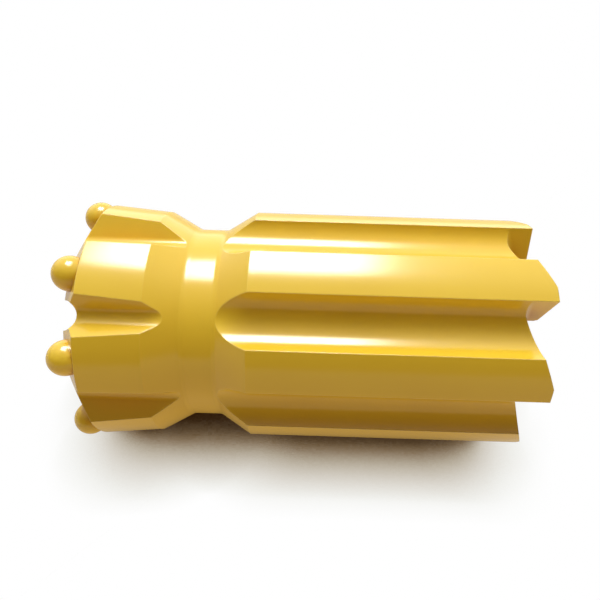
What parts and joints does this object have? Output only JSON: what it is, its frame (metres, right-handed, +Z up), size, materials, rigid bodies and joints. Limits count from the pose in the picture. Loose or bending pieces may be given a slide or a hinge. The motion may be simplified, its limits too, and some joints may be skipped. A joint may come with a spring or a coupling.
{
  "type": "button drill bit",
  "caption": "Back-cutting button drill bit: fluted head with domed carbide buttons, necked body, splined skirt with rear cutting teeth and a threaded socket.",
  "frame": {"origin": "on the surface the bit lies on, under the middle of its length, with its axis straight above", "axes": "+X along the bit's axis from the face to the rear teeth, +Z up, the bit lying on the edges of one wide flute"},
  "size_m": [0.1634, 0.085, 0.0851],
  "materials": {
    "body_enamel": "gloss",
    "button_enamel": "gloss"
  },
  "bodies": {
    "root": {"bit_body": "body_enamel", "gauge_button_1": "button_enamel", "gauge_button_2": "button_enamel", "gauge_button_3": "button_enamel", "gauge_button_4": "button_enamel", "gauge_button_5": "button_enamel", "gauge_button_6": "button_enamel", "gauge_button_7": "button_enamel", "gauge_button_8": "button_enamel", "front_button_1": "button_enamel", "front_button_2": "button_enamel", "front_button_3": "button_enamel", "front_button_4": "button_enamel", "front_button_5": "button_enamel"}
  },
  "joints": []
}
